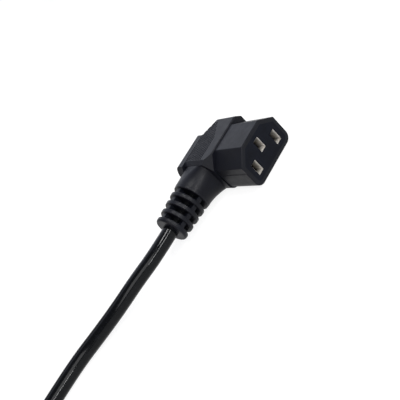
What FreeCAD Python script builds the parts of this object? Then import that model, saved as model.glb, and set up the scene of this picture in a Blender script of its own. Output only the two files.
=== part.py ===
import FreeCAD, Part
import math
import os

# Angled power cord: a moulded side-exit connector, its round three-core lead wound
# in a tied hank, and the moulded inlet plug on the lead's far end. Millimetres, +Z up.
# The connector lies on its flat lower face, with the mating face looking along -Y
# and the lead leaving along -X. The origin is the middle of the connector's base.

os.makedirs("parts", exist_ok=True)
V = FreeCAD.Vector

# Mating nose: an upright hexagon with two rounded lower corners
nose_width = 24.0
nose_height = 15.6
nose_length = 14.9
nose_chamfer_x = 5.9
nose_chamfer_z = 4.75
nose_corner_radius = 3.0
nose_edge_radius = 0.6
mouth_rounding = 0.35
parting_height = 0.2
parting_step = 0.12

# Contact layout, shared by the connector's receptacles and the plug's pins
pole_spacing = 14.0
pole_drop = 2.0
earth_rise = 2.0
slot_width = 2.5
slot_height = 4.7

# Grip body behind the nose
body_height = 16.6
body_front_right = 12.0
body_back_right = 11.2
body_left = 12.4
body_depth = 17.7
slant_start = 12.2
slant_end_x = 0.6
body_corner_radius = 3.4
body_top_bevel = 2.2
slant_bevel = 2.2
ledge_width = 1.8
ledge_drop = 0.9
cheek_along_x = 4.8
cheek_along_y = 3.8
cheek_down = 4.7

# Fine grip grooves on the upper and lower faces, and the band behind them
rib_count = 9
rib_pitch = 0.98
rib_groove_width = 0.46
rib_groove_depth = 0.32
rib_first = 4.9
rib_left_margin = 1.9
rib_right_margin = 2.6
band_width = 3.5
band_right = 2.5
band_proud = 0.2
band_left_reach = 3.0
band_end_run = 2.3
band_end_drop = 3.4
band_groove_width = 0.5
band_groove_depth = 0.6
band_edge_radius = 1.0

# Neck and strain relief
cord_axis_depth = 25.7
neck_root_height = 14.8
neck_root_front = 2.2
neck_front_radius = 3.2
neck_back_radius = 6.3
neck_length = 8.1
relief_root_radius = 7.1
relief_tip_radius = 6.2
rim_length = 1.08
window_count = 4
window_pitch = 3.63
window_width = 2.0
spine_angle = 17.0
spine_drop = 0.7
ring_rounding = 0.3
tip_rounding = 0.8
collar_length = 1.77
sectors = 4

# Lead: jacket, three insulated cores and their conductors
cord_diameter = 5.9
core_diameter = 2.1
conductor_diameter = 1.0
core_spread = 1.27
jacket_grip = 6.0
conductor_bare = 3.4

# Contact carrier and the brass receptacles in it
carrier_wall = 1.6
carrier_length = 15.6
carrier_lip = 0.35
mouth_reveal = 0.25
cut_over = 3.0
contact_wall = 0.4
contact_length = 11.0
contact_fit = 0.05
leaf_length = 7.0
leaf_bow = 0.3
leaf_height = 3.6
leaf_start = 1.6
web_thickness = 0.5
web_grip = 1.5
crimp_wall = 0.45
wire_crimp_length = 2.8
crimp_gap = 0.8
sleeve_crimp_length = 2.2

# Inlet plug on the far end
shroud_clearance = 0.35
shroud_wall = 1.85
shroud_depth = 16.0
shroud_rounding = 0.5
pin_carrier_length = 8.0
pin_carrier_inset = 1.1
pin_width = 4.0
pin_thickness = 2.0
pole_pin_recess = 2.4
earth_pin_recess = 1.2
pin_tip_taper = 1.2
grip_start = 20.0
grip_end = 29.0
grip_width = 19.5
grip_height = 15.0
grip_radius = 4.5
plug_neck_end = 35.5
plug_rib_count = 4
plug_rib_pitch = 1.9
plug_rib_width = 0.9
plug_rib_depth = 0.7

# Hank of the put-away length, a long ring of turns, and its tie
hank_columns = 2
hank_layers = 3
hank_mean_radius = 23.45
hank_run = 95.0
hank_right_x = -126.5
hank_lead_in = 22.0
hank_edge_radius = 2.4
tie_width = 10.0
tie_thickness = 0.8
tie_fit = 0.05
tie_flap = 7.0
tie_corner_radius = 2.0
tail_start_x = -142.5
tail_start_in = 14.8
tail_start_z = 13.2
tail_first_drop = 1.7
tail_heading = 42.0
tail_step = 13.0
tail_end_run = 12.0

# Places that follow from the sizes above
relief_length = rim_length + window_count * window_pitch - (window_pitch - window_width)
relief_length += collar_length
relief_tip_x = -(body_left + neck_length + relief_length)
body_back = nose_length + body_depth
origin_shift = V(
    -(body_front_right + relief_tip_x) / 2,
    -(body_back + band_proud) / 2,
    body_height / 2,
)
poles = {
    "line": (pole_spacing / 2, -pole_drop),
    "neutral": (-pole_spacing / 2, -pole_drop),
    "earth": (0.0, earth_rise),
}
core_places = {"line": 210.0, "neutral": 330.0, "earth": 90.0}


# Outlines and simple solids


def corner(before, at, after, radius):
    """The two ends and the middle of the arc that rounds one corner of an outline."""
    to_before = (before - at).normalize()
    to_after = (after - at).normalize()
    half = to_before.getAngle(to_after) / 2
    reach = radius / math.tan(half)
    middle = at + (to_before + to_after).normalize() * (radius / math.sin(half) - radius)
    return at + to_before * reach, middle, at + to_after * reach


def outline(points, radii):
    """A closed wire through the points, each corner rounded by its own radius."""
    count = len(points)
    ends = []
    for i, (point, radius) in enumerate(zip(points, radii)):
        if radius > 0:
            ends.append(corner(points[i - 1], point, points[(i + 1) % count], radius))
        else:
            ends.append((point, None, point))
    edges = []
    for i, (start, middle, end) in enumerate(ends):
        if middle is not None:
            edges.append(Part.Arc(start, middle, end).toShape())
        following = ends[(i + 1) % count][0]
        if (following - end).Length > 1e-6:
            edges.append(Part.LineSegment(end, following).toShape())
    return Part.Wire(edges)


def prism(points, radii, direction):
    """A straight extrusion of a rounded outline."""
    return Part.Face(outline(points, radii)).extrude(direction)


def block(x0, x1, y0, y1, z0, z1):
    """A rectangular block between two corners."""
    return Part.makeBox(x1 - x0, y1 - y0, z1 - z0, V(x0, y0, z0))


def corner_cut(start, end, first_leg, second_leg):
    """A wedge that bevels the edge from start to end, with one leg along each face."""
    along = (end - start).normalize() * 2
    spread = (first_leg - second_leg) * 0.3
    wedge = [
        start - along + first_leg + spread,
        start - along + second_leg - spread,
        start - along - (first_leg + second_leg),
    ]
    return prism(wedge, [0, 0, 0], end - start + along * 2)


def nose_points(y, grow):
    """Corners of the nose's hexagon at depth y, moved outwards by grow."""
    half_width = nose_width / 2
    half_height = nose_height / 2
    slope = math.atan2(nose_chamfer_z, nose_chamfer_x)
    side = grow * math.tan((math.pi / 2 - slope) / 2)
    top = grow * math.tan(slope / 2)
    corners = [
        (-half_width - grow, -half_height - grow),
        (half_width + grow, -half_height - grow),
        (half_width + grow, half_height - nose_chamfer_z + side),
        (half_width - nose_chamfer_x + top, half_height + grow),
        (-half_width + nose_chamfer_x - top, half_height + grow),
        (-half_width - grow, half_height - nose_chamfer_z + side),
    ]
    return [V(x, y, z) for x, z in corners]


def nose_prism(y0, y1, grow, lower_radius, upper_radius):
    """The nose's section, grown or shrunk, between two depths."""
    radii = [lower_radius] * 2 + [upper_radius] * 4
    return prism(nose_points(y0, grow), radii, V(0, y1 - y0, 0))


def fuse_all(shapes):
    """One solid from several that touch or overlap."""
    return shapes[0].multiFuse(shapes[1:]).removeSplitter()


# Leads: a circle swept along straight runs and tangent arcs


def route_wire(points, share=0.45):
    """Straight runs with an arc at each corner, as large as its two runs allow."""
    edges = []
    radii = []
    last = points[0]
    for i in range(1, len(points) - 1):
        back = points[i - 1] - points[i]
        ahead = points[i + 1] - points[i]
        half_turn = (math.pi - back.getAngle(ahead)) / 2
        radius = share * min(back.Length, ahead.Length) / math.tan(half_turn)
        start, middle, end = corner(points[i - 1], points[i], points[i + 1], radius)
        edges.append(Part.LineSegment(last, start).toShape())
        edges.append(Part.Arc(start, middle, end).toShape())
        radii.append(radius)
        last = end
    edges.append(Part.LineSegment(last, points[-1]).toShape())
    return Part.Wire(edges), radii


def rod(points, diameter, share=0.45):
    """A round rod along a route, with the radii of its bends."""
    path, radii = route_wire(points, share)
    heading = points[1] - points[0]
    circle = Part.Circle(points[0], heading, diameter / 2).toShape()
    solid = path.makePipeShell([Part.Wire([circle])], True, False)
    return solid, path.Length, radii


def core_place(pole, x, side):
    """Where a core runs inside the jacket, at x along the lead's axis."""
    angle = math.radians(core_places[pole])
    return V(
        x,
        cord_axis_depth - side * core_spread * math.cos(angle),
        core_spread * math.sin(angle),
    )


# Strain relief: rings on four spines, cut open between them


def strain_relief(bore_radius):
    """The relief along +X from x = 0, its root at the neck, with the lead's bore."""

    def ring_radius(x):
        return relief_root_radius + (relief_tip_radius - relief_root_radius) * x / relief_length

    profile = [V(0, 0, 0), V(0, relief_root_radius, 0)]
    rounding = [0, 0]
    starts = [rim_length + i * window_pitch for i in range(window_count)]
    for start in starts:
        end = start + window_width
        profile += [
            V(start, ring_radius(start), 0),
            V(start, ring_radius(start) - spine_drop, 0),
            V(end, ring_radius(end) - spine_drop, 0),
            V(end, ring_radius(end), 0),
        ]
        rounding += [ring_rounding, 0, 0, ring_rounding]
    profile += [V(relief_length, relief_tip_radius, 0), V(relief_length, 0, 0)]
    rounding += [tip_rounding, 0]
    face = Part.Face(outline(profile, rounding))
    relief = face.revolve(V(0, 0, 0), V(1, 0, 0), 360)

    open_angle = 360.0 / sectors - spine_angle
    cutters = []
    for start in starts:
        section = [
            V(start, bore_radius, 0),
            V(start + window_width, bore_radius, 0),
            V(start + window_width, relief_root_radius + 1, 0),
            V(start, relief_root_radius + 1, 0),
        ]
        for i in range(sectors):
            window = Part.Face(Part.makePolygon(section + [section[0]]))
            window = window.revolve(V(0, 0, 0), V(1, 0, 0), open_angle)
            window.rotate(V(0, 0, 0), V(1, 0, 0), spine_angle / 2 + i * 360.0 / sectors)
            cutters.append(window)
    return relief.cut(Part.makeCompound(cutters))


def section_ring(x, y, half_depth, half_height, front_radius, back_radius):
    """A rounded rectangle across the lead's axis, as eight matching edges."""
    points = [
        V(x, y - half_depth, -half_height),
        V(x, y + half_depth, -half_height),
        V(x, y + half_depth, half_height),
        V(x, y - half_depth, half_height),
    ]
    return outline(points, [front_radius, back_radius, back_radius, front_radius])


def neck_solid():
    """The tapering neck between the grip body and the strain relief."""
    root_front = nose_length + neck_root_front
    root_y = (root_front + body_back) / 2
    root_half = (body_back - root_front) / 2
    tip = relief_root_radius
    nearly_round = 0.97 * tip
    sections = []
    for share in (0.0, 0.45, 1.0):
        eased = share * (2 - share)
        sections.append(
            section_ring(
                -body_left + 1.0 - share * (neck_length + 1.0),
                root_y + (cord_axis_depth - root_y) * eased,
                root_half + (tip - root_half) * eased,
                neck_root_height / 2 + (tip - neck_root_height / 2) * eased,
                neck_front_radius + (nearly_round - neck_front_radius) * eased,
                neck_back_radius + (nearly_round - neck_back_radius) * eased,
            )
        )
    return Part.makeLoft(sections, True, False)


# Angled connector


def grip_body():
    """The grip block with its slanted corner, cheek, band and fine grooves."""
    low = -body_height / 2
    high = body_height / 2
    corner_y = nose_length + slant_start
    plan = [
        V(-body_left, nose_length, low),
        V(body_front_right, nose_length, low),
        V(body_back_right, corner_y, low),
        V(slant_end_x, body_back, low),
        V(-body_left, body_back, low),
    ]
    from_above = prism(plan, [0, 0, 2.6, 1.2, 0.8], V(0, 0, body_height))
    front = [
        V(-body_left, nose_length, low),
        V(body_front_right, nose_length, low),
        V(body_front_right, nose_length, high - body_top_bevel),
        V(body_front_right - body_top_bevel, nose_length, high),
        V(-body_left, nose_length, high),
    ]
    radii = [body_corner_radius, body_corner_radius, 1.0, 1.0, 0.4]
    from_front = prism(front, radii, V(0, body_depth, 0))
    side = [
        V(-body_left, nose_length, low),
        V(-body_left, nose_length, high),
        V(-body_left, body_back, high),
        V(-body_left, body_back, low),
    ]
    from_side = prism(side, [0.5, 0.5, 1.2, 2.0], V(body_left + body_front_right, 0, 0))
    body = from_above.common(from_front).common(from_side)

    slant = (V(slant_end_x, body_back, 0) - V(body_back_right, corner_y, 0)).normalize()
    inward = V(slant.y, -slant.x, 0)
    if inward.y > 0:
        inward = inward * -1
    cuts = [
        corner_cut(
            V(body_back_right, corner_y, high) - slant * 3,
            V(slant_end_x, body_back, high) + slant * 3,
            inward * slant_bevel,
            V(0, 0, -slant_bevel),
        ),
        corner_cut(
            V(-body_left, nose_length, high),
            V(-body_left, body_back, high),
            V(ledge_width, 0, 0),
            V(0, 0, -ledge_drop),
        ),
    ]
    cheek = [
        V(-body_left + cheek_along_x, nose_length, high),
        V(-body_left, nose_length + cheek_along_y, high),
        V(-body_left, nose_length, high - cheek_down),
    ]
    apex = V(-body_left, nose_length, high)
    outward = (cheek[1] - cheek[0]).cross(cheek[2] - cheek[0]).normalize()
    if outward.dot(apex - cheek[0]) < 0:
        outward = outward * -1
    centre = (cheek[0] + cheek[1] + cheek[2]) * (1 / 3)
    wide = [centre + (p - centre) * 3 for p in cheek]
    cuts.append(prism(wide, [0, 0, 0], outward * 12))
    body = body.cut(Part.makeCompound(cuts))

    band_front = body_back - band_width
    band_plan = [
        V(-body_left - band_left_reach, band_front, low),
        V(band_right, band_front, low),
        V(band_right, body_back + band_proud, low),
        V(-body_left - band_left_reach, body_back + band_proud, low),
    ]
    band = prism(band_plan, [0, 0, 0.6, 1.6], V(0, 0, body_height))
    band_side = [
        V(-body_left - band_left_reach, band_front, low),
        V(-body_left - band_left_reach, band_front, high),
        V(-body_left - band_left_reach, body_back + band_proud, high),
        V(-body_left - band_left_reach, body_back + band_proud, low),
    ]
    reach = body_left + band_left_reach + band_right
    band = band.common(
        prism(band_side, [0, 0, band_edge_radius, 2.0], V(reach, 0, 0))
    )
    end_face = body_left + band_left_reach
    for edge_z, down in ((high, -1), (low, 1)):
        band = band.cut(
            corner_cut(
                V(-end_face, band_front, edge_z),
                V(-end_face, body_back + band_proud, edge_z),
                V(band_end_run, 0, 0),
                V(0, 0, down * band_end_drop),
            )
        )
    body = fuse_all([body, band])

    grooves = []
    for side_sign in (1, -1):
        face_z = side_sign * high
        for i in range(rib_count):
            y = nose_length + rib_first + i * rib_pitch
            right_limit = body_back_right - rib_right_margin
            slant_room = (y - corner_y + 3.2) / math.tan(math.atan2(-slant.y, slant.x)) * -1
            right = min(right_limit, right_limit - max(0.0, slant_room))
            z0, z1 = sorted((face_z - side_sign * rib_groove_depth, face_z + side_sign))
            grooves.append(
                block(-body_left + rib_left_margin, right, y, y + rib_groove_width, z0, z1)
            )
        z0, z1 = sorted((face_z - side_sign * band_groove_depth, face_z + side_sign))
        grooves.append(
            block(
                -body_left + rib_left_margin,
                band_right + 1.5,
                band_front - band_groove_width,
                band_front,
                z0,
                z1,
            )
        )
    return body.cut(Part.makeCompound(grooves))


def nose_shell():
    """The nose with its softened mouth and the step left along the mould's parting line."""
    nose = nose_prism(0, nose_length + 1.0, 0, nose_corner_radius, nose_edge_radius)
    mouth = [e for e in nose.Edges if abs(e.BoundBox.YMax) < 1e-6]
    nose = nose.makeFillet(mouth_rounding, mouth)
    half = nose_width / 2
    top = nose_height / 2
    steps = [
        block(half - parting_step, half + 1, -1, nose_length, parting_height, top),
        block(-half - 1, -half + parting_step, -1, nose_length, parting_height, top),
    ]
    return nose.cut(Part.makeCompound(steps))


def receptacle(pole):
    """One brass receptacle: a folded box with two bowed leaves, a web and two crimps."""
    x, z = poles[pole]
    inner_x = slot_width / 2
    inner_z = slot_height / 2
    y0 = carrier_lip + contact_fit
    y1 = y0 + contact_length
    box = block(
        x - inner_x - contact_wall,
        x + inner_x + contact_wall,
        y0,
        y1,
        z - inner_z - contact_wall,
        z + inner_z + contact_wall,
    )
    box = box.cut(block(x - inner_x, x + inner_x, y0 - 1, y1 + 1, z - inner_z, z + inner_z))
    leaves = []
    for sign in (1, -1):
        wall_x = x + sign * inner_x
        start = V(wall_x, y0 + leaf_start, z - leaf_height / 2)
        end = V(wall_x, y0 + leaf_start + leaf_length, z - leaf_height / 2)
        middle = V(wall_x - sign * leaf_bow, (start.y + end.y) / 2, start.z)
        bow = Part.Wire([Part.Arc(start, middle, end).toShape(), Part.makeLine(end, start)])
        leaves.append(Part.Face(bow).extrude(V(0, 0, leaf_height)))
    crimp_start = carrier_length + crimp_gap
    web = block(
        x - inner_x,
        x + inner_x,
        y1 - web_grip,
        crimp_start + wire_crimp_length,
        z - web_thickness / 2,
        z + web_thickness / 2,
    )
    wire_radius = conductor_diameter / 2
    sleeve_radius = core_diameter / 2
    sleeve_start = crimp_start + wire_crimp_length + crimp_gap
    wire_crimp = Part.makeCylinder(
        wire_radius + crimp_wall, wire_crimp_length, V(x, crimp_start, z), V(0, 1, 0)
    )
    sleeve_crimp = Part.makeCylinder(
        sleeve_radius + crimp_wall, sleeve_crimp_length, V(x, sleeve_start, z), V(0, 1, 0)
    )
    strap = block(
        x - wire_radius - crimp_wall,
        x + wire_radius + crimp_wall,
        crimp_start,
        sleeve_start + sleeve_crimp_length,
        z - sleeve_radius - crimp_wall,
        z - sleeve_radius,
    )
    foot = block(
        x - wire_radius,
        x + wire_radius,
        crimp_start,
        crimp_start + wire_crimp_length,
        z - sleeve_radius,
        z,
    )
    solid = fuse_all([box, web, wire_crimp, sleeve_crimp, strap, foot] + leaves)
    wire_bore = Part.makeCylinder(
        wire_radius, sleeve_crimp_length + wire_crimp_length + cut_over, V(x, crimp_start, z), V(0, 1, 0)
    )
    sleeve_bore = Part.makeCylinder(
        sleeve_radius, sleeve_crimp_length + cut_over, V(x, sleeve_start, z), V(0, 1, 0)
    )
    return solid.cut(wire_bore).cut(sleeve_bore)


def contact_carrier():
    """The moulded block that holds the receptacles behind the three mouths."""
    carrier = nose_prism(0, carrier_length, -carrier_wall, 1.6, 0.4)
    cuts = []
    for x, z in poles.values():
        half_x = slot_width / 2
        half_z = slot_height / 2
        pocket = contact_wall + contact_fit
        cuts.append(
            block(
                x - half_x - mouth_reveal,
                x + half_x + mouth_reveal,
                -1,
                carrier_lip,
                z - half_z - mouth_reveal,
                z + half_z + mouth_reveal,
            )
        )
        cuts.append(
            block(
                x - half_x - pocket,
                x + half_x + pocket,
                carrier_lip,
                carrier_length + 1,
                z - half_z - pocket,
                z + half_z + pocket,
            )
        )
    return carrier.cut(Part.makeCompound(cuts))


def crimp_ends(start):
    """Depths of the bare conductor's end and of the insulation's end behind a carrier."""
    bare = start + crimp_gap
    return bare, bare + wire_crimp_length + crimp_gap


def angled_cores():
    """Cores and conductors from the receptacles round into the lead."""
    solids = {}
    bare_y, sleeve_y = crimp_ends(carrier_length)
    for pole, (x, z) in poles.items():
        inside = core_place(pole, relief_tip_x, 1)
        turn = V(x, inside.y, z)
        entry = V(-body_left - 4.0, inside.y, inside.z)
        core_route = [V(x, sleeve_y, z), turn, entry, inside]
        wire_route = [V(x, bare_y, z), turn, entry, inside]
        solids[pole] = bent_core(core_route, wire_route, V(0, 1, 0))
    return solids


def bent_core(core_route, wire_route, first_heading):
    """An insulated core and the conductor inside it, along the same bends."""
    turn_radius = 2.6
    wire_path = rounded_path(wire_route, turn_radius)
    core_path = rounded_path(core_route, turn_radius)
    conductor = sweep_round(wire_path, wire_route[0], first_heading, conductor_diameter)
    core = sweep_round(core_path, core_route[0], first_heading, core_diameter)
    return core.cut(conductor), conductor


def rounded_path(points, radius):
    """Straight runs joined by arcs of one radius, or less where a run is short."""
    edges = []
    last = points[0]
    for i in range(1, len(points) - 1):
        back = points[i - 1] - points[i]
        ahead = points[i + 1] - points[i]
        half_turn = (math.pi - back.getAngle(ahead)) / 2
        limit = 0.48 * min(back.Length, ahead.Length) / math.tan(half_turn)
        start, middle, end = corner(
            points[i - 1], points[i], points[i + 1], min(radius, limit)
        )
        edges.append(Part.LineSegment(last, start).toShape())
        edges.append(Part.Arc(start, middle, end).toShape())
        last = end
    edges.append(Part.LineSegment(last, points[-1]).toShape())
    return Part.Wire(edges)


def sweep_round(path, start, heading, diameter):
    """A round bar swept along a path of runs and arcs."""
    circle = Part.Wire([Part.Circle(start, heading, diameter / 2).toShape()])
    return path.makePipeShell([circle], True, False)


def jacket_piece(start_x, end_x, cores):
    """The end of the lead's jacket inside a moulding, with a bore for each core."""
    jacket = Part.makeCylinder(
        cord_diameter / 2, start_x - end_x, V(end_x, cord_axis_depth, 0), V(1, 0, 0)
    )
    for core, conductor in cores.values():
        jacket = jacket.cut(core).cut(conductor)
    return jacket


def connector():
    """Every piece of the angled connector, in its own frame."""
    cores = angled_cores()
    jacket = jacket_piece(-body_left - jacket_grip, relief_tip_x, cores)
    carrier = contact_carrier()
    contacts = {pole: receptacle(pole) for pole in poles}

    relief = strain_relief(cord_diameter / 2)
    relief.rotate(V(0, 0, 0), V(0, 0, 1), 180)
    relief.translate(V(-body_left - neck_length, cord_axis_depth, 0))
    shell = fuse_all([grip_body(), nose_shell(), neck_solid(), relief])
    envelope = nose_prism(-1, carrier_length, -carrier_wall, 1.6, 0.4)
    lead_bore = Part.makeCylinder(
        cord_diameter / 2,
        -relief_tip_x - body_left - jacket_grip + 1,
        V(relief_tip_x - 1, cord_axis_depth, 0),
        V(1, 0, 0),
    )
    shell = shell.cut(envelope).cut(lead_bore)
    for pole in poles:
        core, conductor = cores[pole]
        shell = shell.cut(contacts[pole]).cut(core).cut(conductor)
    shell = largest(shell)
    pieces = {"connector_shell": shell, "contact_carrier": carrier, "jacket_entry": jacket}
    for pole in poles:
        pieces[pole + "_contact"] = contacts[pole]
        pieces[pole + "_core"] = cores[pole][0]
        pieces[pole + "_conductor"] = cores[pole][1]
    return pieces


def largest(shape):
    """The one solid of a moulding, without the slivers that lie inside a crimp."""
    return max(shape.Solids, key=lambda solid: solid.Volume)


# Inlet plug


def plug_pin(pole):
    """A flat blade with a tapered tip, and the crimps behind it."""
    x, z = poles[pole]
    tip = earth_pin_recess if pole == "earth" else pole_pin_recess
    half_t = pin_thickness / 2
    half_w = pin_width / 2
    back = shroud_depth + pin_carrier_length
    bare_y, sleeve_y = crimp_ends(back)
    taper = 0.45
    side = [
        V(x - half_t + taper, tip, z - half_w),
        V(x + half_t - taper, tip, z - half_w),
        V(x + half_t, tip + pin_tip_taper, z - half_w),
        V(x + half_t, back + crimp_gap / 2, z - half_w),
        V(x - half_t, back + crimp_gap / 2, z - half_w),
        V(x - half_t, tip + pin_tip_taper, z - half_w),
    ]
    blade = prism(side, [0, 0, 0.4, 0, 0, 0.4], V(0, 0, pin_width))
    for sign in (1, -1):
        edge_z = z + sign * half_w
        blade = blade.cut(
            corner_cut(
                V(x - half_t, tip, edge_z),
                V(x + half_t, tip, edge_z),
                V(0, pin_tip_taper, 0),
                V(0, 0, -sign * 0.7),
            )
        )
    wire_radius = conductor_diameter / 2
    sleeve_radius = core_diameter / 2
    shank = Part.makeCylinder(
        wire_radius + crimp_wall, wire_crimp_length + crimp_gap, V(x, back, z), V(0, 1, 0)
    )
    cup = Part.makeCylinder(
        sleeve_radius + crimp_wall, sleeve_crimp_length + crimp_gap, V(x, bare_y + wire_crimp_length, z), V(0, 1, 0)
    )
    solid = fuse_all([blade, shank, cup])
    solid = solid.cut(Part.makeCylinder(wire_radius, 20, V(x, bare_y, z), V(0, 1, 0)))
    return solid.cut(Part.makeCylinder(sleeve_radius, 20, V(x, sleeve_y, z), V(0, 1, 0)))


def plug_cores(tip_y):
    """Cores and conductors from the pins into the plug's end of the lead."""
    solids = {}
    bare_y, sleeve_y = crimp_ends(shroud_depth + pin_carrier_length)
    for pole, (x, z) in poles.items():
        angle = math.radians(core_places[pole])
        side_x = -core_spread * math.cos(angle)
        side_z = core_spread * math.sin(angle)
        meet_y = plug_neck_end - 0.5
        core_route = [
            V(x, sleeve_y, z),
            V(x, sleeve_y + sleeve_crimp_length + 0.8, z),
            V(side_x, meet_y, side_z),
            V(side_x, tip_y, side_z),
        ]
        wire_route = [V(x, bare_y, z)] + core_route[1:]
        solids[pole] = bent_core(core_route, wire_route, V(0, 1, 0))
    return solids


def plug_body(tip_y):
    """The shroud, the grip and the neck of the plug as one moulding."""
    grow = shroud_clearance + shroud_wall
    shroud = nose_prism(0, grip_start, grow, nose_corner_radius + 1.2, 1.6)
    rim = [e for e in shroud.Edges if abs(e.BoundBox.YMax) < 1e-6]
    shroud = shroud.makeFillet(shroud_rounding, rim)
    tip = relief_root_radius

    def ring(y, half_width, half_height, radius):
        points = [
            V(-half_width, y, -half_height),
            V(half_width, y, -half_height),
            V(half_width, y, half_height),
            V(-half_width, y, half_height),
        ]
        return outline(points, [radius] * 4)

    outer_x = nose_width / 2 + grow
    outer_z = nose_height / 2 + grow
    shoulder = Part.makeLoft(
        [
            ring(grip_start - 1.5, outer_x - 1.2, outer_z - 1.2, 4.5),
            ring(grip_start + 2.5, (outer_x + grip_width / 2) / 2, (outer_z + grip_height / 2) / 2, 4.5),
            ring(grip_start + 5.0, grip_width / 2, grip_height / 2, grip_radius),
        ],
        True,
        False,
    )
    grip = Part.makeLoft(
        [
            ring(grip_start + 5.0, grip_width / 2, grip_height / 2, grip_radius),
            ring(grip_end, grip_width / 2, grip_height / 2, grip_radius),
        ],
        True,
        True,
    )
    neck = Part.makeLoft(
        [
            ring(grip_end, grip_width / 2, grip_height / 2, grip_radius),
            ring((grip_end + plug_neck_end) / 2, (grip_width / 2 + tip) * 0.48, (grip_height / 2 + tip) * 0.49, 5.0),
            ring(plug_neck_end, tip, tip, 0.9 * tip),
        ],
        True,
        False,
    )
    body = fuse_all([shroud, shoulder, grip, neck])
    grooves = []
    for i in range(plug_rib_count):
        y = grip_start + 5.4 + i * plug_rib_pitch
        for sign in (1, -1):
            x0, x1 = sorted((sign * (grip_width / 2 - plug_rib_depth), sign * (grip_width / 2 + 2)))
            grooves.append(block(x0, x1, y, y + plug_rib_width, -grip_height / 2 + 3, grip_height / 2 - 3))
    return body.cut(Part.makeCompound(grooves))


def plug():
    """Every piece of the inlet plug, its rim at y = 0 and its lead leaving along +Y."""
    tip_y = plug_neck_end + relief_length
    cores = plug_cores(tip_y)
    jacket_start = plug_neck_end + 0.6
    jacket = Part.makeCylinder(
        cord_diameter / 2, tip_y - jacket_start, V(0, jacket_start, 0), V(0, 1, 0)
    )
    for core, conductor in cores.values():
        jacket = jacket.cut(core).cut(conductor)
    back = shroud_depth + pin_carrier_length
    carrier = nose_prism(
        shroud_depth, back, shroud_clearance - pin_carrier_inset, nose_corner_radius - 0.8, 0.4
    )
    pins = {pole: plug_pin(pole) for pole in poles}

    relief = strain_relief(cord_diameter / 2)
    relief.rotate(V(0, 0, 0), V(0, 0, 1), 90)
    relief.translate(V(0, plug_neck_end, 0))
    cavity = nose_prism(-1, shroud_depth, shroud_clearance, nose_corner_radius, nose_edge_radius)
    lead_bore = Part.makeCylinder(
        cord_diameter / 2, tip_y - jacket_start + 1, V(0, jacket_start, 0), V(0, 1, 0)
    )
    shell = fuse_all([plug_body(tip_y), relief]).cut(cavity).cut(carrier).cut(lead_bore)
    pieces = {}
    for pole in poles:
        core, conductor = cores[pole]
        carrier = carrier.cut(pins[pole])
        shell = shell.cut(pins[pole]).cut(core).cut(conductor)
        pieces["plug_" + pole + "_pin"] = pins[pole]
        pieces["plug_" + pole + "_core"] = core
        pieces["plug_" + pole + "_conductor"] = conductor
    pieces["plug_shell"] = largest(shell)
    pieces["pin_carrier"] = carrier
    pieces["plug_jacket_entry"] = jacket
    return pieces


# Free lead: the run on the surface, the hank, its tie and the tail to the plug

floor_z = cord_diameter / 2
exit_x = relief_tip_x + origin_shift.x
exit_y = cord_axis_depth + origin_shift.y
exit_z = body_height / 2
lane_y = 26.9
hank_half = hank_columns * cord_diameter / 2
hank_height = hank_layers * cord_diameter
hank_y = lane_y - hank_mean_radius - hank_half + cord_diameter / 2
hank_left_x = hank_right_x - hank_run
plug_axis_z = nose_height / 2 + shroud_clearance + shroud_wall

run_points = [
    V(exit_x, exit_y, exit_z),
    V(-35.0, exit_y, exit_z),
    V(-45.4, 12.9, 7.4),
    V(-56.0, 16.7, 5.75),
    V(-66.8, 21.6, 4.1),
    V(-77.5, 25.9, 3.1),
    V(-91.0, lane_y, floor_z),
    V(hank_right_x + hank_lead_in, lane_y, floor_z),
]

slant_x = -tail_step * math.cos(math.radians(tail_heading))
slant_y = -tail_step * math.sin(math.radians(tail_heading))
easing_x = -tail_step * math.cos(math.radians(tail_heading / 2))
easing_y = -tail_step * math.sin(math.radians(tail_heading / 2))
tail_start = V(tail_start_x, hank_y + tail_start_in, tail_start_z)
tail_first = tail_start + V(slant_x, slant_y, -tail_first_drop)
tail_second = V(tail_first.x + easing_x, tail_first.y + easing_y, plug_axis_z)
tail_points = [tail_start, tail_first, tail_second, tail_second - V(tail_end_run, 0, 0)]


def hank_solid():
    """The outer shape of the wound turns, with a stub where the lead joins and leaves."""
    section = [
        V(hank_right_x, hank_y + hank_mean_radius - hank_half, 0),
        V(hank_right_x, hank_y + hank_mean_radius + hank_half, 0),
        V(hank_right_x, hank_y + hank_mean_radius + hank_half, hank_height),
        V(hank_right_x, hank_y + hank_mean_radius - hank_half, hank_height),
    ]
    face = Part.Face(outline(section, [hank_edge_radius] * 4))
    pieces = []
    for end_x, start_angle in ((hank_right_x, 0), (hank_left_x, 180)):
        pivot = V(end_x, hank_y, 0)
        flank = face.copy()
        flank.translate(V(end_x - hank_right_x, 0, 0))
        flank.rotate(pivot, V(0, 0, 1), start_angle)
        pieces.append(flank.revolve(pivot, V(0, 0, 1), -180))
        toward = -1 if start_angle == 0 else 1
        pieces.append(flank.extrude(V(toward * hank_run, 0, 0)))
    pieces.append(
        Part.makeCylinder(
            cord_diameter / 2, hank_lead_in, V(hank_right_x, lane_y, floor_z), V(1, 0, 0)
        )
    )
    heading = (tail_first - tail_start).normalize()
    pieces.append(
        Part.makeCylinder(cord_diameter / 2, tail_step, tail_start - heading * tail_step, heading)
    )
    return fuse_all(pieces)


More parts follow.
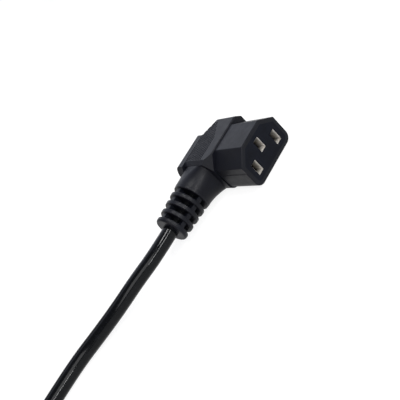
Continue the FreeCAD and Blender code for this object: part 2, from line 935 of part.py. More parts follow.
def hank_tie():
    """A hook-and-loop strap once round one side's turns, its end lapped over the top."""
    x0 = (hank_right_x + hank_left_x - tie_width) / 2
    y0 = hank_y - hank_mean_radius - hank_half - tie_fit
    y1 = hank_y - hank_mean_radius + hank_half + tie_fit
    z0 = tie_thickness
    z1 = tie_thickness + hank_height

    def band(grow):
        points = [
            V(x0, y0 - grow, z0 - grow),
            V(x0, y1 + grow, z0 - grow),
            V(x0, y1 + grow, z1 + grow),
            V(x0, y0 - grow, z1 + grow),
        ]
        return prism(points, [tie_corner_radius + grow] * 4, V(tie_width, 0, 0))

    flap_y = (y0 + y1 - tie_flap) / 2
    flap = block(
        x0,
        x0 + tie_width,
        flap_y,
        flap_y + tie_flap,
        z1 + tie_thickness,
        z1 + 2 * tie_thickness,
    )
    return fuse_all([band(tie_thickness).cut(band(0)), flap])


def place_plug(shape):
    """Turns the plug's lead towards +X and seats its flat side on the surface in the hank."""
    placed = shape.copy()
    placed.rotate(V(0, 0, 0), V(0, 0, 1), -90)
    tip_y = plug_neck_end + relief_length
    placed.translate(V(tail_points[-1].x - tip_y, tail_points[-1].y, plug_axis_z))
    return placed


def main():
    pieces = {}
    for name, shape in connector().items():
        moved = shape.copy()
        moved.translate(origin_shift)
        pieces[name] = moved
    for name, shape in plug().items():
        pieces[name] = place_plug(shape)
    section = math.pi * (cord_diameter / 2) ** 2
    for name, points in (("cord_run", run_points), ("cord_tail", tail_points)):
        solid, length, radii = rod(points, cord_diameter)
        pieces[name] = solid
        print(name, "length", round(length, 1), "volume / section x length",
              round(solid.Volume / (section * length), 4), "radii", [round(r, 1) for r in radii])
    tie = hank_tie()
    pieces["hank_tie"] = tie
    pieces["cord_hank"] = hank_solid().cut(tie)
    for name, shape in pieces.items():
        solids = shape.Solids
        shape = solids[0] if len(solids) == 1 else Part.makeCompound(solids)
        shape.exportStep("parts/" + name + ".step")
        print(name, len(solids), "solid", "valid" if shape.isValid() else "INVALID", round(shape.Volume, 1))
    turn = 2 * hank_run + 2 * math.pi * hank_mean_radius
    print("length in the hank", round((hank_columns * hank_layers - 1) * turn), "mm")
    print("plug rim at x", round(tail_points[-1].x - plug_neck_end - relief_length, 3))
    print("plug axis at y", round(tail_points[-1].y, 3))


main()
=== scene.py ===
"""Angled power cord: a moulded side-exit connector with three slots, its slotted strain
relief, a glossy black lead, and the put-away rest of the lead with an inlet plug."""

import math

import bpy
import numpy as np
from mathutils import Matrix


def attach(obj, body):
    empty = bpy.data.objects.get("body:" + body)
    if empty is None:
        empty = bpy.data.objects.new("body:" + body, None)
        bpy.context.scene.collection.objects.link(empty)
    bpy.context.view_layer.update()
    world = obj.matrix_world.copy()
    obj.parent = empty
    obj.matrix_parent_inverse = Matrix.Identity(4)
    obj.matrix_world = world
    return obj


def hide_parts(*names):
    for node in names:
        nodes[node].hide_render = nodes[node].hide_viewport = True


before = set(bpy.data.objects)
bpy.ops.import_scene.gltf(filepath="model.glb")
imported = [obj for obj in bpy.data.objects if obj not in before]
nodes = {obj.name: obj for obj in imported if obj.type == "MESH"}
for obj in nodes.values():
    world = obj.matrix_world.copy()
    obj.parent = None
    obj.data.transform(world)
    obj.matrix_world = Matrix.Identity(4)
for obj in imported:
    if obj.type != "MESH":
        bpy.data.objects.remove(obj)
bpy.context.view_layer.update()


MM = 0.001


def facing(place, aim, roll=0.0):
    """The placement of a thing that looks from its place to its aim. Its back axis points away
    from the aim, its right axis lies level, and the roll, in degrees, turns right and up about
    the back axis."""
    back = np.subtract(place, aim)
    back = back / np.linalg.norm(back)
    level = np.cross((0.0, 0.0, 1.0), back)
    level = level / np.linalg.norm(level)
    rise = np.cross(back, level)
    angle = math.radians(roll)
    right = math.cos(angle) * level + math.sin(angle) * rise
    up = math.cos(angle) * rise - math.sin(angle) * level
    turn = Matrix((right, up, back)).transposed().to_4x4()
    return Matrix.Translation(np.multiply(place, MM)) @ turn


# Camera, solved from the nose's corners and slots

CAMERA_PLACE = (-93.78, -184.693, 114.844)
CAMERA_AIM = (-10.095, 3.223, 8.0)
CAMERA_ROLL = -47.088
LENS = 57.758
SENSOR_WIDTH = 36.0
NEAR_CLIP = 5.0
FAR_CLIP = 50000.0


def place_camera():
    camera = bpy.data.objects.new("camera", bpy.data.cameras.new("camera"))
    camera.data.sensor_width = SENSOR_WIDTH
    camera.data.lens = LENS
    camera.data.clip_start = NEAR_CLIP * MM
    camera.data.clip_end = FAR_CLIP * MM
    camera.matrix_world = facing(CAMERA_PLACE, CAMERA_AIM, CAMERA_ROLL)
    bpy.context.scene.collection.objects.link(camera)
    bpy.context.scene.camera = camera


place_camera()


# The lead: one smooth spline from the strain relief through the hank to the plug

CORD_DIAMETER = 5.9
HANK_RIGHT_X = -126.5
HANK_RUN = 95.0
HANK_MEAN_RADIUS = 23.45
LANE_Y = 26.9
OUTER = HANK_MEAN_RADIUS + CORD_DIAMETER / 2
INNER = HANK_MEAN_RADIUS - CORD_DIAMETER / 2
HANK_Y = LANE_Y - OUTER
HANK_LEFT_X = HANK_RIGHT_X - HANK_RUN
LAYERS = (0.5 * CORD_DIAMETER, 1.5 * CORD_DIAMETER, 2.5 * CORD_DIAMETER)
FOLD_POINTS = 12
SIDE_POINTS = 7
CLIMB_BULGE = 2.9

TIE_X = (HANK_RIGHT_X + HANK_LEFT_X) / 2
TIE_THICKNESS = 0.8
# On the tied side the turns start to rise this far from the tie, and rise over this length
TIE_RISE_START = 34.0
TIE_RISE_LENGTH = 20.0

RUN = [
    (-24.12, 9.3, 8.3),
    (-35.0, 9.3, 8.3),
    (-45.4, 12.9, 7.4),
    (-56.0, 16.7, 5.75),
    (-66.8, 21.6, 4.1),
    (-77.5, 25.9, 3.1),
    (-91.0, 26.9, 2.95),
    (-104.5, 26.9, 2.95),
]
LEAVING = [(-129.6, 21.0, 14.75), (-135.9, 19.35, 14.4)]
TAIL = [
    (-142.5, 15.3, 13.2),
    (-152.16, 6.6, 11.5),
    (-164.3, 1.94, 10.0),
    (-176.3, 1.94, 10.0),
]


def ease(share):
    """A smooth step from 0 to 1: three times the share squared less twice its cube."""
    share = np.clip(share, 0.0, 1.0)
    return share * share * (3.0 - 2.0 * share)


def lane_side(radius, height):
    """Points along one straight side of a turn, towards the far fold, flat at its height."""
    entry = radius * math.tan(math.pi / (2 * FOLD_POINTS))
    x = np.linspace(HANK_RIGHT_X - entry, HANK_LEFT_X + entry, SIDE_POINTS)
    return np.stack([x, np.full_like(x, HANK_Y + radius), np.full_like(x, height)], axis=1)


def tied_side(radius, height):
    """The same side mirrored, on its way back. Near the tie the turn lies on the strap, so it
    eases up by the strap's thickness."""
    points = lane_side(radius, height)[::-1] * (1.0, -1.0, 1.0) + (0.0, 2 * HANK_Y, 0.0)
    from_tie = np.abs(points[:, 0] - TIE_X)
    points[:, 2] += TIE_THICKNESS * ease((TIE_RISE_START - from_tie) / TIE_RISE_LENGTH)
    return points


def fold(pivot_x, start_angle, first, last):
    """Points round one end of a turn, an arc whose radius and height ease from the first
    place of the stack to the last. A turn that climbs bulges away from the one beside it.
    The points lie a little outside the arc, where the spline's control points have to be."""
    step = np.arange(FOLD_POINTS) + 0.5
    angle = np.radians(start_angle) + math.pi * step / FOLD_POINTS
    way = step / (FOLD_POINTS - 0.5)
    share = ease(way)
    radius = first[0] + (last[0] - first[0]) * share
    height = first[1] + (last[1] - first[1]) * share
    if last[1] > first[1]:
        away = 1.0 if first[0] > HANK_MEAN_RADIUS else -1.0
        radius = radius + away * CLIMB_BULGE * np.sin(np.pi * (way + share) / 2)
    radius = radius / math.cos(math.pi / (2 * FOLD_POINTS))
    x = pivot_x + radius * np.cos(angle)
    y = HANK_Y + radius * np.sin(angle)
    return np.stack([x, y, height], axis=1)


def hank_points():
    """Five turns of a long ring, stacked two wide and three high. Each turn runs along the
    lane side, round the far fold, back along the tied side, and in the near fold moves on to
    the next place of the stack: beside its last place or above it. The last leaves inwards."""
    places = [
        (OUTER, LAYERS[0]),
        (INNER, LAYERS[0]),
        (INNER, LAYERS[1]),
        (OUTER, LAYERS[1]),
        (OUTER, LAYERS[2]),
        (INNER, LAYERS[2]),
    ]
    points = []
    for place, following in zip(places[:-1], places[1:]):
        points.append(lane_side(*place))
        points.append(fold(HANK_LEFT_X, 90.0, place, place))
        points.append(tied_side(*place))
        points.append(fold(HANK_RIGHT_X, -90.0, place, following))
    return np.concatenate(points + [LEAVING])


def make_lead():
    """A round section carried along the spline: the visible run, the hank and the tail. The
    points' own radius gives its size, so that the curve's box is its true one."""
    route = np.concatenate([RUN, hank_points(), TAIL]) * MM
    curve = bpy.data.curves.new("lead", "CURVE")
    curve.dimensions = "3D"
    curve.bevel_depth = 1.0
    curve.bevel_resolution = 8
    curve.use_fill_caps = True
    spline = curve.splines.new("NURBS")
    spline.points.add(len(route) - 1)
    homogeneous = np.concatenate([route, np.ones((len(route), 1))], axis=1)
    spline.points.foreach_set("co", homogeneous.ravel())
    spline.points.foreach_set("radius", np.full(len(route), CORD_DIAMETER / 2 * MM))
    spline.order_u = 3
    spline.use_endpoint_u = True
    spline.resolution_u = 8
    lead = bpy.data.objects.new("lead", curve)
    bpy.context.scene.collection.objects.link(lead)
    return lead


lead = make_lead()
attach(lead, "root")
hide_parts("cord_run", "cord_hank", "cord_tail")


# Materials

# Widths of the marks in the finishes. Grain, specks, dust and patina are really finer, and are
# drawn as wide as they need to be to show.
PVC_GRAIN = 0.25
PVC_FLOW_MARK = 9.09
PVC_BLOOM = 2.632
CARRIER_SPECK = 0.3846
CARRIER_WASH = 4.167
JACKET_LAY = 14.286
JACKET_DUST = 1.111
METAL_PATINA = 1.429
CORE_WASH = 1.667
EARTH_STRIPE = 2.0
STRAP_THREAD = 0.5

# The contacts keep their metal tone from their mouths to the first of these; past the second they
# are painted dark, a painted shade deeper in the mouths
PAINTED_SHADE_START_Y = -15.5
PAINTED_SHADE_FULL_Y = -12.4

# A noise's values lie mostly between these
NOISE_RANGE = {"From Min": 0.3, "From Max": 0.7}

# A wave texture at scale 1 repeats every 0.314 of its space
WAVE_REPEAT = 2 * math.pi / 20

# A Mix node's colour sockets share their names with its other sockets, so they go by number
SHARE, FIRST, SECOND, MIXED = 0, 6, 7, 2


def linear(hex_colour):
    """An sRGB hex colour as linear red, green, blue and full alpha."""
    parts = [int(hex_colour[i : i + 2], 16) / 255.0 for i in (1, 3, 5)]
    return [p / 12.92 if p <= 0.04045 else ((p + 0.055) / 1.055) ** 2.4 for p in parts] + [1.0]


def per_metre(width):
    """How many marks of this width lie in a metre."""
    return 1.0 / (width * MM)


def add(material, kind, inputs=None, **settings):
    """Adds one node, sets its properties, fills or links its inputs, and gives its outputs."""
    tree = material.node_tree
    node = tree.nodes.new(kind)
    for name, value in settings.items():
        setattr(node, name, value)
    for name, value in (inputs or {}).items():
        socket = node.inputs[name]
        if isinstance(value, bpy.types.NodeSocket):
            tree.links.new(value, socket)
        else:
            socket.default_value = value
    return node.outputs


def new_material(name):
    material = bpy.data.materials.new(name)
    material.use_nodes = True
    material.node_tree.nodes.clear()
    return material


def mottled(material, pattern, first, second, start=0.3, end=0.7, most=1.0):
    """A colour that goes over from the first to the second as the pattern's value rises from
    the start to the end, at most by the given share."""
    share = add(
        material,
        "ShaderNodeMapRange",
        {"Value": pattern, "From Min": start, "From Max": end, "To Max": most},
    )["Result"]
    return add(
        material,
        "ShaderNodeMix",
        {SHARE: share, FIRST: first, SECOND: second},
        data_type="RGBA",
    )[MIXED]


def moulded_pvc():
    """Flexible PVC overmould, injection moulded in a lightly spark-eroded tool: satin, with a
    fine grain, faint flow marks, and a little grey bloom where it has been handled."""
    material = new_material("overmoulded_pvc")
    place = add(material, "ShaderNodeTexCoord")["Object"]
    grain = add(
        material, "ShaderNodeTexNoise", {"Vector": place, "Scale": per_metre(PVC_GRAIN)}
    )["Fac"]
    flow = add(
        material,
        "ShaderNodeTexNoise",
        {"Vector": place, "Scale": per_metre(PVC_FLOW_MARK), "Detail": 3.0, "Roughness": 0.6},
    )["Fac"]
    bloom = add(
        material,
        "ShaderNodeTexNoise",
        {"Vector": place, "Scale": per_metre(PVC_BLOOM), "Detail": 4.0, "Roughness": 0.65},
    )["Fac"]
    tone = mottled(material, flow, linear("#08090f"), linear("#0d0f16"))
    tone = mottled(material, bloom, tone, linear("#17181e"), 0.55, 0.85, most=0.5)
    roughness = add(
        material,
        "ShaderNodeMapRange",
        {"Value": bloom, **NOISE_RANGE, "To Min": 0.36, "To Max": 0.48},
    )["Result"]
    relief = add(
        material, "ShaderNodeBump", {"Height": grain, "Strength": 0.3, "Distance": 0.01 * MM}
    )["Normal"]
    shader = add(
        material,
        "ShaderNodeBsdfPrincipled",
        {
            "Base Color": tone,
            "Roughness": roughness,
            "IOR": 1.52,
            "Specular IOR Level": 0.13,
            "Normal": relief,
        },
    )["BSDF"]
    add(material, "ShaderNodeOutputMaterial", {"Surface": shader})
    return material


def carrier_plastic():
    """Glass-filled polyamide block, moulded: dull and near black, with a faint cloudy wash and
    a fine pale speck of the filler."""
    material = new_material("moulded_polyamide")
    place = add(material, "ShaderNodeTexCoord")["Object"]
    speck = add(
        material, "ShaderNodeTexNoise", {"Vector": place, "Scale": per_metre(CARRIER_SPECK)}
    )["Fac"]
    wash = add(
        material,
        "ShaderNodeTexNoise",
        {"Vector": place, "Scale": per_metre(CARRIER_WASH), "Detail": 3.0},
    )["Fac"]
    tone = mottled(material, wash, linear("#06080f"), linear("#0a0d16"))
    tone = mottled(material, speck, tone, linear("#1c1e27"), 0.62, 0.8, most=0.35)
    roughness = add(
        material,
        "ShaderNodeMapRange",
        {"Value": speck, **NOISE_RANGE, "To Min": 0.5, "To Max": 0.65},
    )["Result"]
    relief = add(
        material, "ShaderNodeBump", {"Height": speck, "Strength": 0.4, "Distance": 0.04 * MM}
    )["Normal"]
    shader = add(
        material,
        "ShaderNodeBsdfPrincipled",
        {
            "Base Color": tone,
            "Roughness": roughness,
            "IOR": 1.53,
            "Specular IOR Level": 0.08,
            "Normal": relief,
        },
    )["BSDF"]
    add(material, "ShaderNodeOutputMaterial", {"Surface": shader})
    return material


def cord_jacket():
    """Extruded PVC jacket: glossy black, with the faint unevenness that the laid cores
    leave under it, and a little fine dust."""
    material = new_material("extruded_pvc_jacket")
    place = add(material, "ShaderNodeTexCoord")["Object"]
    lay = add(
        material, "ShaderNodeTexNoise", {"Vector": place, "Scale": per_metre(JACKET_LAY)}
    )["Fac"]
    dust = add(
        material,
        "ShaderNodeTexNoise",
        {"Vector": place, "Scale": per_metre(JACKET_DUST), "Detail": 4.0, "Roughness": 0.7},
    )["Fac"]
    tone = mottled(material, dust, linear("#07080a"), linear("#101116"), 0.5, 0.8)
    roughness = add(
        material,
        "ShaderNodeMapRange",
        {"Value": dust, **NOISE_RANGE, "To Min": 0.1, "To Max": 0.16},
    )["Result"]
    relief = add(
        material, "ShaderNodeBump", {"Height": lay, "Strength": 0.3, "Distance": 0.06 * MM}
    )["Normal"]
    shader = add(
        material,
        "ShaderNodeBsdfPrincipled",
        {
            "Base Color": tone,
            "Roughness": roughness,
            "IOR": 1.52,
            "Specular IOR Level": 0.14,
            "Normal": relief,
        },
    )["BSDF"]
    add(material, "ShaderNodeOutputMaterial", {"Surface": shader})
    return material


def bright_metal(name, light, dark, smoothest, roughest, marks, painted_shade=None):
    """A plated or bare metal part: marks left by the rolls or the die, with their size along
    each axis, and a patchy patina from a light to a dark tone. Where a painted shade colour is
    given, the metal keeps its tone at the mouth and goes over to that colour deeper in, a
    painted shade in the recess."""
    material = new_material(name)
    place = add(material, "ShaderNodeTexCoord")["Object"]
    stretched = add(
        material,
        "ShaderNodeMapping",
        {"Vector": place, "Scale": [per_metre(width) for width in marks]},
    )["Vector"]
    stroke = add(
        material,
        "ShaderNodeTexNoise",
        {"Vector": stretched, "Scale": 1.0, "Detail": 3.0, "Roughness": 0.6},
    )["Fac"]
    patina = add(
        material,
        "ShaderNodeTexNoise",
        {"Vector": place, "Scale": per_metre(METAL_PATINA), "Detail": 3.0, "Roughness": 0.6},
    )["Fac"]
    tone = mottled(material, patina, linear(light), linear(dark))
    # Painted shade: deeper into the mouth the tone goes over to the given dark brown
    if painted_shade:
        depth = add(material, "ShaderNodeSeparateXYZ", {"Vector": place})["Y"]
        tone = mottled(
            material, depth, tone, linear(painted_shade), PAINTED_SHADE_START_Y * MM, PAINTED_SHADE_FULL_Y * MM
        )
    roughness = add(
        material,
        "ShaderNodeMapRange",
        {"Value": stroke, **NOISE_RANGE, "To Min": smoothest, "To Max": roughest},
    )["Result"]
    relief = add(
        material, "ShaderNodeBump", {"Height": stroke, "Strength": 0.2, "Distance": 0.01 * MM}
    )["Normal"]
    shader = add(
        material,
        "ShaderNodeBsdfPrincipled",
        {"Base Color": tone, "Metallic": 1.0, "Roughness": roughness, "Normal": relief},
    )["BSDF"]
    add(material, "ShaderNodeOutputMaterial", {"Surface": shader})
    return material


def core_insulation(name, first, second, stripe=None):
    """Smooth extruded PVC core insulation, in one softly shaded colour, or with a slanting
    stripe of a second one."""
    material = new_material(name)
    place = add(material, "ShaderNodeTexCoord")["Object"]
    wash = add(
        material,
        "ShaderNodeTexNoise",
        {"Vector": place, "Scale": per_metre(CORE_WASH), "Detail": 3.0},
    )["Fac"]
    tone = mottled(material, wash, linear(first), linear(second))
    if stripe:
        bands = add(
            material,
            "ShaderNodeTexWave",
            {"Vector": place, "Scale": WAVE_REPEAT * per_metre(EARTH_STRIPE)},
            bands_direction="DIAGONAL",
        )["Fac"]
        tone = mottled(material, bands, tone, linear(stripe), 0.6, 0.65)
    roughness = add(
        material,
        "ShaderNodeMapRange",
        {"Value": wash, **NOISE_RANGE, "To Min": 0.28, "To Max": 0.4},
    )["Result"]
    shader = add(
        material,
        "ShaderNodeBsdfPrincipled",
        {"Base Color": tone, "Roughness": roughness, "IOR": 1.52},
    )["BSDF"]
    add(material, "ShaderNodeOutputMaterial", {"Surface": shader})
    return material


def woven_strap():
    """Woven nylon hook-and-loop strap: matt black, its threads crossing, with a fuzz of loops
    that catches the light. The strap's own map counts millimetres, and the weave is one wave
    along it times one across it."""
    material = new_material("woven_nylon_strap")
    place = add(material, "ShaderNodeTexCoord")["UV"]
    threads = [
        add(
            material,
            "ShaderNodeTexWave",
            {
                "Vector": place,
                "Scale": WAVE_REPEAT / STRAP_THREAD,
                "Distortion": 0.6,
                "Detail": 1.0,
            },
            bands_direction=direction,
        )["Fac"]
        for direction in ("X", "Y")
    ]
    weave = add(
        material, "ShaderNodeMath", {0: threads[0], 1: threads[1]}, operation="MULTIPLY"
    )["Value"]
    tone = mottled(material, weave, linear("#0b0b0d"), linear("#1e1e22"), 0.0, 1.0)
    relief = add(
        material, "ShaderNodeBump", {"Height": weave, "Strength": 0.7, "Distance": 0.2 * MM}
    )["Normal"]
    shader = add(
        material,
        "ShaderNodeBsdfPrincipled",
        {
            "Base Color": tone,
            "Roughness": 0.85,
            "Sheen Weight": 0.12,
            "Sheen Roughness": 0.4,
            "Normal": relief,
        },
    )["BSDF"]
    add(material, "ShaderNodeOutputMaterial", {"Surface": shader})
    return material


PVC = moulded_pvc()
CARRIER = carrier_plastic()
JACKET = cord_jacket()
# Tin over brass, stamped: a warm white metal with soft rolling marks, and a dark brown painted
# shade deeper in its mouths
CONTACT = bright_metal(
    "tinned_brass", "#f7f5f1", "#c4beb4", 0.6, 0.74, (1.111, 8.333, 0.3846), painted_shade="#352f27"
)
# Bright nickel over brass, barrel plated: cooler and harder than the contacts
PIN = bright_metal(
    "nickel_plated_brass", "#d9d8d4", "#bdbab3", 0.14, 0.26, (11.11, 0.625, 0.625)
)
# Annealed copper wire, drawn: warm red with a dull oxide in places
COPPER = bright_metal("drawn_copper", "#d98b66", "#a65f40", 0.25, 0.45, (1.111, 1.111, 1.111))
BROWN = core_insulation("brown_core_pvc", "#5c3317", "#4c2a13")
BLUE = core_insulation("blue_core_pvc", "#1f5fb0", "#1a4f96")
GREEN = core_insulation("earth_core_pvc", "#2f8a2c", "#287726", stripe="#e5c915")
STRAP = woven_strap()

NODE_FINISH = {
    "connector_shell": PVC,
    "contact_carrier": CARRIER,
    "jacket_entry": JACKET,
    "plug_shell": PVC,
    "pin_carrier": CARRIER,
    "plug_jacket_entry": JACKET,
}
for pole, core in (("line", BROWN), ("neutral", BLUE), ("earth", GREEN)):
    NODE_FINISH[pole + "_contact"] = CONTACT
    NODE_FINISH[pole + "_core"] = core
    NODE_FINISH[pole + "_conductor"] = COPPER
    NODE_FINISH["plug_" + pole + "_pin"] = PIN
    NODE_FINISH["plug_" + pole + "_core"] = core
    NODE_FINISH["plug_" + pole + "_conductor"] = COPPER


def paint(piece, material):
    """Gives a piece one material in place of what it had."""
    piece.data.materials.clear()
    piece.data.materials.append(material)


for name, material in NODE_FINISH.items():
    paint(nodes[name], material)
paint(lead, JACKET)


# Surfaces worked out on a grid of points


def ring_faces(rings, spokes):
    """Faces over a grid of rings: a quad between each two neighbours of each two rings, with
    every ring closed on itself, and then the first and the last ring filled."""
    index = np.arange(rings * spokes).reshape(rings, spokes)
    index = np.concatenate([index, index[:, :1]], axis=1)
    quads = np.stack([index[:-1, :-1], index[:-1, 1:], index[1:, 1:], index[1:, :-1]], axis=-1)
    ends = [index[0, :-1][::-1].tolist(), index[-1, :-1].tolist()]
    return quads.reshape(-1, 4).tolist() + ends


def smooth_piece(name, points, faces, material):
    """A smooth mesh in one material, from points in millimetres and the faces over them."""
    mesh = bpy.data.meshes.new(name)
    mesh.from_pydata((points.reshape(-1, 3) * MM).tolist(), [], faces)
    mesh.polygons.foreach_set("use_smooth", np.ones(len(mesh.polygons), dtype=bool))
    piece = bpy.data.objects.new(name, mesh)
    paint(piece, material)
    bpy.context.scene.collection.objects.link(piece)
    return piece


# The strap round one side of the hank

STRAP_WIDTH = 10.0
STRAP_CORNER = 2.4
STRAP_LAP = 7.0
# The strap keeps this far inside the CAD model's faces
STRAP_MARGIN = 0.03
# Its section's squareness: 1 is an oval, 0 a rectangle
STRAP_SQUARENESS = 0.35
# It steps up on to its own start over this length, and its ends close over this one
LAP_STEP = 2.0
END_LENGTH = 0.25
END_NARROWING = 0.03
# Each wave of its edges: share of the width, radians for each millimetre, start in radians
EDGE_WAVES = ((0.012, 2.6, 0.0), (0.008, 1.1, 1.0))
STRAP_STEPS = 220
STRAP_EDGE_STEPS = 16


def rounded_rectangle(half_y, half_z, corner, steps=10):
    """Points round a rectangle with quarter-circle corners, from the middle of its top
    towards +Y, back to the start."""
    arc = np.radians(np.linspace(90.0, 0.0, steps))
    points = [(0.0, half_z)]
    for quarter, (sign_y, sign_z) in enumerate(((1, 1), (1, -1), (-1, -1), (-1, 1))):
        angle = arc - math.pi / 2 * quarter
        points.extend(
            zip(
                sign_y * (half_y - corner) + corner * np.cos(angle),
                sign_z * (half_z - corner) + corner * np.sin(angle),
            )
        )
    return np.array(points + [(0.0, half_z)])


def squared(values):
    """A sine or cosine drawn out towards 1 and -1: its size to the power of the strap's
    squareness, with its own sign."""
    return np.sign(values) * np.abs(values) ** STRAP_SQUARENESS


def strap_surface():
    """A flat strap walked once round the bundle and on over its own start. Along it the
    middle line follows a rounded rectangle and steps out by the strap's thickness where it
    laps. Across it the section is a flat oval: width and thickness by a squared-off circle.
    The woven edges wave a little, and both ends close and narrow over a short length."""
    half_stack = len(LAYERS) * CORD_DIAMETER / 2
    half_y = CORD_DIAMETER + TIE_THICKNESS / 2
    half_z = half_stack + TIE_THICKNESS / 2
    middle_y = HANK_Y - HANK_MEAN_RADIUS
    middle_z = half_stack + TIE_THICKNESS

    loop = rounded_rectangle(half_y, half_z, STRAP_CORNER)
    walked = np.concatenate([[0.0], np.cumsum(np.linalg.norm(np.diff(loop, axis=0), axis=1))])
    full = walked[-1]
    along = np.linspace(-STRAP_LAP / 2, full + STRAP_LAP / 2, STRAP_STEPS)
    three_rounds = np.concatenate([walked - full, walked, walked + full])
    y = np.interp(along, three_rounds, np.tile(loop[:, 0], 3))
    z = np.interp(along, three_rounds, np.tile(loop[:, 1], 3))
    slope_y, slope_z = np.gradient(y, along), np.gradient(z, along)
    length = np.hypot(slope_y, slope_z)
    out_y, out_z = -slope_z / length, slope_y / length

    lapped = TIE_THICKNESS * ease((along - (full - STRAP_LAP / 2 - LAP_STEP)) / LAP_STEP)
    around = 2 * math.pi * np.arange(STRAP_EDGE_STEPS) / STRAP_EDGE_STEPS
    across = squared(np.cos(around)) * STRAP_WIDTH / 2
    depth = squared(np.sin(around)) * (TIE_THICKNESS / 2 - STRAP_MARGIN)
    from_start = np.clip((along - along[0]) / END_LENGTH, 0.0, 1.0)
    from_end = np.clip((along[-1] - along) / END_LENGTH, 0.0, 1.0)
    fullness = from_start * from_end
    width = 1.0 - END_NARROWING * (1.0 - fullness)
    wave = 1.0 + sum(share * np.sin(along * rate + start) for share, rate, start in EDGE_WAVES)
    offset = lapped[:, None] + depth[None, :] * np.sqrt(fullness)[:, None]
    points = np.stack(
        [
            TIE_X + across[None, :] * (wave * width)[:, None],
            middle_y + y[:, None] - out_y[:, None] * offset,
            middle_z + z[:, None] - out_z[:, None] * offset,
        ],
        axis=-1,
    )
    uv = np.stack(np.broadcast_arrays(along[:, None], (across + depth)[None, :]), axis=-1)
    return points, uv


def make_strap():
    """The strap's mesh, with a map that counts millimetres along and across the cloth."""
    points, uv = strap_surface()
    strap = smooth_piece("strap", points, ring_faces(*points.shape[:2]), STRAP)
    layer = strap.data.uv_layers.new(name="cloth")
    corner_vertex = np.zeros(len(strap.data.loops), dtype=np.int32)
    strap.data.loops.foreach_get("vertex_index", corner_vertex)
    layer.data.foreach_set("uv", uv.reshape(-1, 2)[corner_vertex].ravel())
    return strap


strap = make_strap()
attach(strap, "root")
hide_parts("hank_tie")


# Floor and world

SWEEP_HUB = 20.0
SWEEP_FLAT = 2400.0
SWEEP_CURVE = 1600.0
SWEEP_HEIGHT = 1550.0
SWEEP_RINGS = 24
SWEEP_SPOKES = 72
# The floor's glow, 1 being white, near the object and far out, and where it changes over
GLOW_NEAR = 0.85
GLOW_FAR = 1.0
GLOW_START = 300.0
GLOW_END = 1100.0


def white_sweep():
    """Matt white board. It shows white to the eye and in reflections, with the object's soft
    shadow left on it, and otherwise it is plain pale grey. Far out, where the lamps hardly
    reach, its glow alone is white."""
    material = new_material("white_sweep")
    rays = add(material, "ShaderNodeLightPath")
    seen = add(
        material,
        "ShaderNodeMath",
        {0: rays["Is Camera Ray"], 1: rays["Is Glossy Ray"]},
        operation="MAXIMUM",
    )["Value"]
    seen = add(
        material, "ShaderNodeMath", {0: seen, 1: rays["Is Transmission Ray"]}, operation="MAXIMUM"
    )["Value"]
    place = add(material, "ShaderNodeTexCoord")["Object"]
    away = add(material, "ShaderNodeVectorMath", {0: place}, operation="LENGTH")["Value"]
    strength = add(
        material,
        "ShaderNodeMapRange",
        {
            "Value": away,
            "From Min": GLOW_START * MM,
            "From Max": GLOW_END * MM,
            "To Min": GLOW_NEAR,
            "To Max": GLOW_FAR,
        },
    )["Result"]
    glow = add(
        material, "ShaderNodeEmission", {"Color": (1.0, 1.0, 1.0, 1.0), "Strength": strength}
    )["Emission"]
    dim = add(material, "ShaderNodeBsdfDiffuse", {"Color": (0.19, 0.19, 0.19, 1.0)})["BSDF"]
    plain = add(material, "ShaderNodeBsdfDiffuse", {"Color": (0.6, 0.6, 0.6, 1.0)})["BSDF"]
    white = add(material, "ShaderNodeAddShader", {0: dim, 1: glow})["Shader"]
    shader = add(material, "ShaderNodeMixShader", {0: seen, 1: plain, 2: white})["Shader"]
    add(material, "ShaderNodeOutputMaterial", {"Surface": shader})
    return material


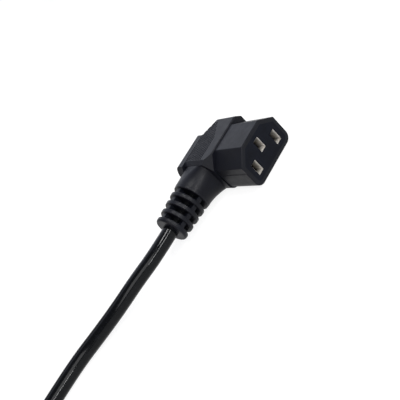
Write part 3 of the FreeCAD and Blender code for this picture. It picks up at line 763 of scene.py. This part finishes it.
def make_floor():
    """A shallow bowl turned about the vertical: flat out to one radius, then a quarter of an
    ellipse that curves up into a low wall. Its faces are turned to look inwards and up, and
    its rim stays open."""
    bend = np.linspace(0.0, math.pi / 2, SWEEP_RINGS - 1)
    radius = np.concatenate([[SWEEP_HUB], SWEEP_FLAT + SWEEP_CURVE * np.sin(bend)])
    height = np.concatenate([[0.0], SWEEP_HEIGHT * (1.0 - np.cos(bend))])
    around = 2 * math.pi * np.arange(SWEEP_SPOKES) / SWEEP_SPOKES
    x = radius[:, None] * np.cos(around)
    y = radius[:, None] * np.sin(around)
    z = np.broadcast_to(height[:, None], x.shape)
    faces = [face[::-1] for face in ring_faces(SWEEP_RINGS, SWEEP_SPOKES)[:-1]]
    floor = smooth_piece("floor", np.stack([x, y, z], axis=-1), faces, white_sweep())


def make_world():
    world = bpy.data.worlds.new("studio")
    world.use_nodes = True
    background = world.node_tree.nodes["Background"]
    background.inputs["Color"].default_value = (1.0, 1.0, 1.0, 1.0)
    background.inputs["Strength"].default_value = 0.15
    bpy.context.scene.world = world


make_floor()
make_world()


# Lamps: name, place, aim, width, height, watts and colour

LAMPS = (
    # Two narrow ones in front give the lead its two bright lines
    ("near_strip", (30.0, -507.0, 325.0), (-170.0, -53.0, 0.0), 580.0, 35.0, 3.0, "#ffffff"),
    ("upper_strip", (150.0, -128.0, 545.0), (-50.0, 0.0, 0.0), 320.0, 35.0, 1.7, "#ffffff"),
    # A broad one above shades the lead's far side
    ("top_card", (50.0, 380.0, 580.0), (-60.0, 0.0, 0.0), 700.0, 340.0, 0.8, "#e8ebff"),
    # One behind lies in the mirror direction of the connector's upper faces
    ("back_card", (295.0, 555.0, 307.0), (0.0, 0.0, 0.0), 620.0, 400.0, 0.95, "#e8eeff"),
    # One on the left fills the side
    ("left_fill", (-600.0, 50.0, 220.0), (-10.0, 0.0, 0.0), 350.0, 300.0, 1.0, "#fff0e8"),
    # A soft one in front reaches into the mouths
    ("slot_light", (-250.0, -420.0, 530.0), (0.0, -10.0, 10.0), 420.0, 420.0, 2.3, "#ffffff"),
)


def area_lamp(name, place, aim, width, height, watts, colour):
    lamp = bpy.data.lights.new(name, "AREA")
    lamp.shape = "RECTANGLE"
    lamp.size = width * MM
    lamp.size_y = height * MM
    lamp.energy = watts
    lamp.color = linear(colour)[:3]
    holder = bpy.data.objects.new(name, lamp)
    holder.matrix_world = facing(place, aim)
    bpy.context.scene.collection.objects.link(holder)


for lamp in LAMPS:
    area_lamp(*lamp)

bpy.context.scene.view_settings.view_transform = "Standard"

bpy.context.view_layer.update()
